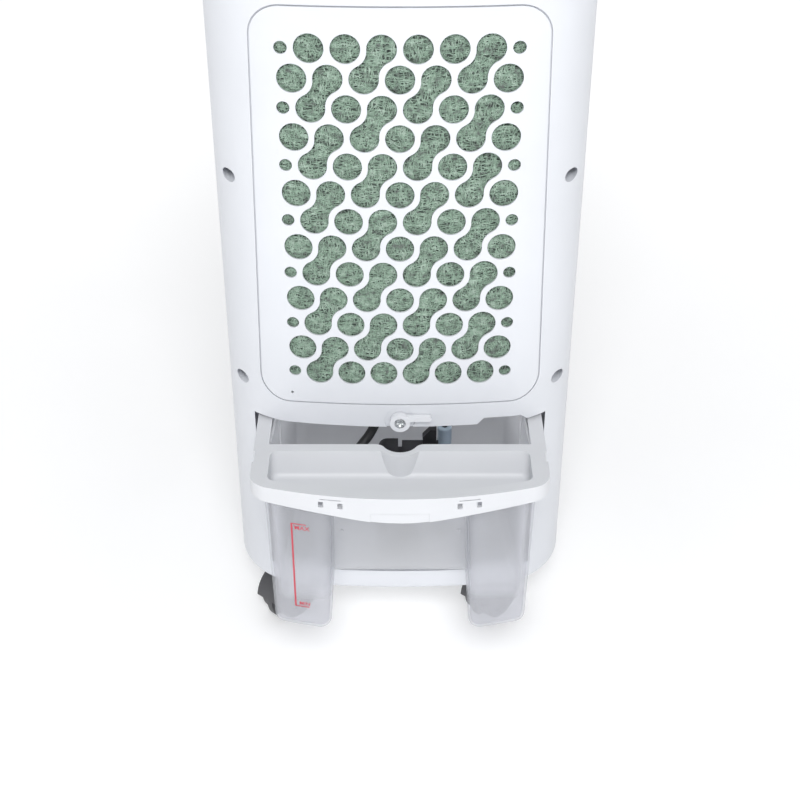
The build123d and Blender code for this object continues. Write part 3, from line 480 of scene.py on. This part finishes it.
def pad_core(low, high, skin):
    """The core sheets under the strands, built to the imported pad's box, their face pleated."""
    nx, nz = CORE_COLUMNS, CORE_ROWS
    xs = np.linspace(-high.x, high.x, nx)
    outline = body_outline_y(xs, skin)
    verts = []
    for z in np.linspace(low.z, high.z, nz):
        for x, y in zip(xs, outline):
            pleat = PLEAT * sin(x / PLEAT_RUN_X) * sin(z / PLEAT_RUN_Z)
            verts.append((x, y - CORE_DEPTH + pleat, z))
    faces = [
        (j * nx + i, j * nx + i + 1, (j + 1) * nx + i + 1, (j + 1) * nx + i)
        for j in range(nz - 1) for i in range(nx - 1)
    ]
    # the face's border, once round, from which the core's sides run to its flat inner side
    edge = list(range(nx))
    edge += [j * nx + nx - 1 for j in range(1, nz)]
    edge += [(nz - 1) * nx + i for i in range(nx - 2, -1, -1)]
    edge += [j * nx for j in range(nz - 2, 0, -1)]
    base = len(verts)
    verts.extend((verts[i][0], low.y, verts[i][2]) for i in edge)
    count = len(edge)
    for k in range(count):
        n = (k + 1) % count
        faces.append((edge[n], edge[k], base + k, base + n))
    faces.append(tuple(base + k for k in range(count)))
    return new_object("pad_core", verts, faces, strand_material("pad_core_green", *CORE_TONES))


pad_threads, pad_core_piece = make_pad()
for piece in (pad_threads, pad_core_piece):
    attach(piece, "housing")
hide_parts("cooling_pad")


# ------------------------------------------------------------------ pump hose
# from the pump's outlet to the spigot under the drip tray
HOSE_ROUTE = [
    (0.046, 0.122, 0.180),
    (0.046, 0.122, 0.192),
    (0.020, 0.104, 0.216),
    (0.020, 0.060, 0.236),
    (0.020, 0.060, 0.2505),
]
HOSE_R = 4.5 * MM
HOSE_STEPS = 16
HOSE_SIDES = 20


def smooth_route(points, steps):
    """Points along the smooth NURBS curve that a route's points steer."""
    curve = bpy.data.curves.new("route", "CURVE")
    curve.dimensions = "3D"
    spline = curve.splines.new("NURBS")
    spline.points.add(len(points) - 1)
    for knot, point in zip(spline.points, points):
        knot.co = (*point, 1)
    spline.order_u = 3
    spline.use_endpoint_u = True
    spline.resolution_u = steps
    holder = bpy.data.objects.new("route", curve)
    bpy.context.scene.collection.objects.link(holder)
    mesh = bpy.data.meshes.new_from_object(holder)
    found = np.array([v.co[:] for v in mesh.vertices])
    bpy.data.objects.remove(holder)
    bpy.data.meshes.remove(mesh)
    return found


def make_pump_hose():
    path = smooth_route(HOSE_ROUTE, HOSE_STEPS)
    verts, faces = tube(path, HOSE_R, HOSE_SIDES)
    return new_object("pump_hose_piece", verts, faces, materials["hose_black"])


pump_hose = make_pump_hose()
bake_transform(pump_hose)
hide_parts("pump_hose")


# ------------------------------------------------------------------ level mark
# the scale's upright line, on the lobe that is on the left from behind
MARK_X = 0.0932
MARK_TOP = 0.2090
MARK_BOTTOM = 0.1130
MARK_W = 1.5 * MM
TICK_LEN = 0.0125
TICK_W = 0.9 * MM
MARK_GAP = 0.02 * MM
MARK_THICK = 0.15 * MM
STRIP_COLUMNS = 9
# the font's size, and how much bolder its strokes are made, for each unit of capital height
FONT_PER_CAP = 1.4
STROKE_SWELL = 0.012


def lobe_front_y(x, z):
    """The lobe's bowed face, which leans in towards the foot."""
    bow = RIM_BOW_R - LOBE_INSET - (LOBE_TOP - z) * tan(LOBE_TAPER)
    return RIM_FRONT_Y - RIM_BOW_R + sqrt(bow ** 2 - x ** 2)


def printed_material(name, colour):
    """Screen-printed ink, a little uneven."""
    t = Tree(name)
    shader = t.principled(rough=0.45)
    t.link(t.ramp(t.noise(900, detail=3), [(0.3, shade(colour, 0.86)), (0.7, shade(colour, 1.1))]),
           shader.inputs["Base Color"])
    t.link(t.bump(t.noise(2500), 0.00002, 0.3), shader.inputs["Normal"])
    return t.finish(shader)


def printed_strip(x0, x1, z0, z1):
    """A thin printed band on the lobe's bowed face."""
    xs = np.linspace(x0, x1, STRIP_COLUMNS)
    verts = []
    for x in xs:
        for lift, z in ((MARK_GAP, z0), (MARK_GAP, z1), (MARK_THICK, z1), (MARK_THICK, z0)):
            verts.append((x, lobe_front_y(x, z) + lift, z))
    faces = []
    for i in range(len(xs) - 1):
        for k in range(4):
            n = (k + 1) % 4
            faces.append((i * 4 + k, i * 4 + n, (i + 1) * 4 + n, (i + 1) * 4 + k))
    faces.append((3, 2, 1, 0))
    last = (len(xs) - 1) * 4
    faces.append((last, last + 1, last + 2, last + 3))
    return verts, faces


def printed_word(word, x_left, z_base, height):
    """A word of a given capital height on the lobe's face, reading towards -X as seen from +Y."""
    font = bpy.data.curves.new(word, "FONT")
    font.body = word
    font.size = height * FONT_PER_CAP
    font.offset = height * STROKE_SWELL
    font.extrude = MARK_THICK / 2
    holder = bpy.data.objects.new(word, font)
    bpy.context.scene.collection.objects.link(holder)
    mesh = bpy.data.meshes.new_from_object(holder)
    verts = []
    for v in mesh.vertices:
        x = x_left - v.co.x
        z = z_base + v.co.y
        verts.append((x, lobe_front_y(x, z) + MARK_THICK / 2 + v.co.z + MARK_GAP, z))
    faces = [tuple(reversed(p.vertices)) for p in mesh.polygons]
    bpy.data.objects.remove(holder)
    bpy.data.meshes.remove(mesh)
    return verts, faces


def make_level_mark():
    """The red scale on the tank: an upright line, a tick at each end, and a word at each tick."""
    red = printed_material("mark_red", (0.50, 0.045, 0.07))
    line_left = MARK_X + MARK_W / 2
    line_right = MARK_X - MARK_W / 2
    tick_right = MARK_X - TICK_LEN
    parts = [
        printed_strip(line_right, line_left, MARK_BOTTOM, MARK_TOP),
        printed_strip(tick_right, line_right, MARK_TOP - TICK_W, MARK_TOP),
        printed_strip(tick_right, line_right, MARK_BOTTOM, MARK_BOTTOM + TICK_W),
        printed_word("MAX", MARK_X - 2.2 * MM, MARK_TOP - 6.6 * MM, height=4.4 * MM),
        printed_word("MIN", MARK_X - 3.2 * MM, MARK_BOTTOM + 2.2 * MM, height=4.0 * MM),
    ]
    verts, faces = join_parts(parts)
    return new_object("level_mark", verts, faces, red, smooth=False)


level_mark = make_level_mark()
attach(level_mark, "tank")


# ------------------------------------------------------------------ floor, light, camera
# the camera's lens and sensor width in millimetres, its tilt down, and its distance behind the
# housing and height above the floor in metres
LENS = 64.26
SENSOR_W = 36
CAMERA_PITCH = radians(33.4)
CAMERA_BACK = 1.052
CAMERA_HEIGHT = 0.971

# the floor's glow near the object and far off, and the distances it changes between
FLOOR_HALF = 30
GLOW_NEAR, GLOW_FAR = 0.22, 0.50
GLOW_START, GLOW_END = 0.3, 1.3

# the sky's brightness at the horizon and overhead, and the heights it changes between
HORIZON, OVERHEAD = 1.05, 0.47
HORIZON_TOP, OVERHEAD_START = 0.04, 0.30
SKY = (0.97, 0.985, 1.0)


def make_floor():
    """A plain pale floor that glows a little more away from the object, like a lit sweep."""
    t = Tree("floor")
    shader = t.principled(rough=0.75, Emission_Color=(1, 1, 1, 1))
    away = t.add("ShaderNodeVectorMath", operation="LENGTH")
    t.link(t.place(), away.inputs[0])
    glow = t.span(away.outputs["Value"], GLOW_NEAR, GLOW_FAR, start=GLOW_START, end=GLOW_END)
    t.link(glow, shader.inputs["Emission Strength"])
    t.link(t.ramp(t.noise(3, detail=2), [(0.3, (0.88, 0.88, 0.885)), (0.7, (0.90, 0.90, 0.905))]),
           shader.inputs["Base Color"])
    size = FLOOR_HALF
    verts = [(-size, -size, 0), (size, -size, 0), (size, size, 0), (-size, size, 0)]
    floor = new_object("floor", verts, [(0, 1, 2, 3)], t.finish(shader), smooth=False)


def area_light(name, place, target, size, power, depth=None):
    """A lamp at place, turned to target: a disk, or a rectangle where depth is set."""
    light = bpy.data.lights.new(name, "AREA")
    light.shape = "RECTANGLE" if depth else "DISK"
    light.size = size
    light.size_y = depth or size
    light.energy = power
    holder = bpy.data.objects.new(name, light)
    holder.location = place
    aim = Vector(target) - Vector(place)
    holder.rotation_euler = aim.to_track_quat("-Z", "Y").to_euler()
    bpy.context.scene.collection.objects.link(holder)
    return holder


def make_sky():
    """White at the horizon, so that the floor meets it without a line, and dimmer overhead."""
    world = bpy.data.worlds.new("studio")
    world.use_nodes = True
    tree = world.node_tree
    background = tree.nodes["Background"]
    background.inputs["Color"].default_value = (*SKY, 1)
    coords = tree.nodes.new("ShaderNodeTexCoord")
    axes = tree.nodes.new("ShaderNodeSeparateXYZ")
    height = tree.nodes.new("ShaderNodeMapRange")
    height.inputs["From Min"].default_value = HORIZON_TOP
    height.inputs["From Max"].default_value = OVERHEAD_START
    height.inputs["To Min"].default_value = HORIZON
    height.inputs["To Max"].default_value = OVERHEAD
    tree.links.new(coords.outputs["Generated"], axes.inputs["Vector"])
    tree.links.new(axes.outputs["Z"], height.inputs["Value"])
    tree.links.new(height.outputs["Result"], background.inputs["Strength"])
    bpy.context.scene.world = world


def make_lamps():
    area_light("key", place=(-0.05, 2.3, 2.4), target=(0, 0.1, 0.3), size=1.2, power=58)
    area_light("low", place=(-0.1, 2.4, 0.75), target=(0, 0.15, 0.15), size=1.0, power=3)
    # stands in for the light that thin white walls pass into the tank bay
    bay_centre = (0, 0.085, 0.2535)
    below = (0, 0.085, 0)
    bay = area_light("bay", bay_centre, below, size=0.21, power=0.13, depth=0.09)
    bay.visible_camera = False
    bay.visible_glossy = False


def make_camera():
    """Looks at the cooler's rear from above, as the photo does."""
    data = bpy.data.cameras.new("camera")
    data.lens = LENS
    data.sensor_width = SENSOR_W
    holder = bpy.data.objects.new("camera", data)
    holder.location = (0, HALF_D + CAMERA_BACK, CAMERA_HEIGHT)
    holder.rotation_euler = (pi / 2 - CAMERA_PITCH, 0, pi)
    bpy.context.scene.collection.objects.link(holder)
    bpy.context.scene.camera = holder


make_floor()
make_sky()
make_lamps()
make_camera()
bpy.context.scene.view_settings.view_transform = "Standard"
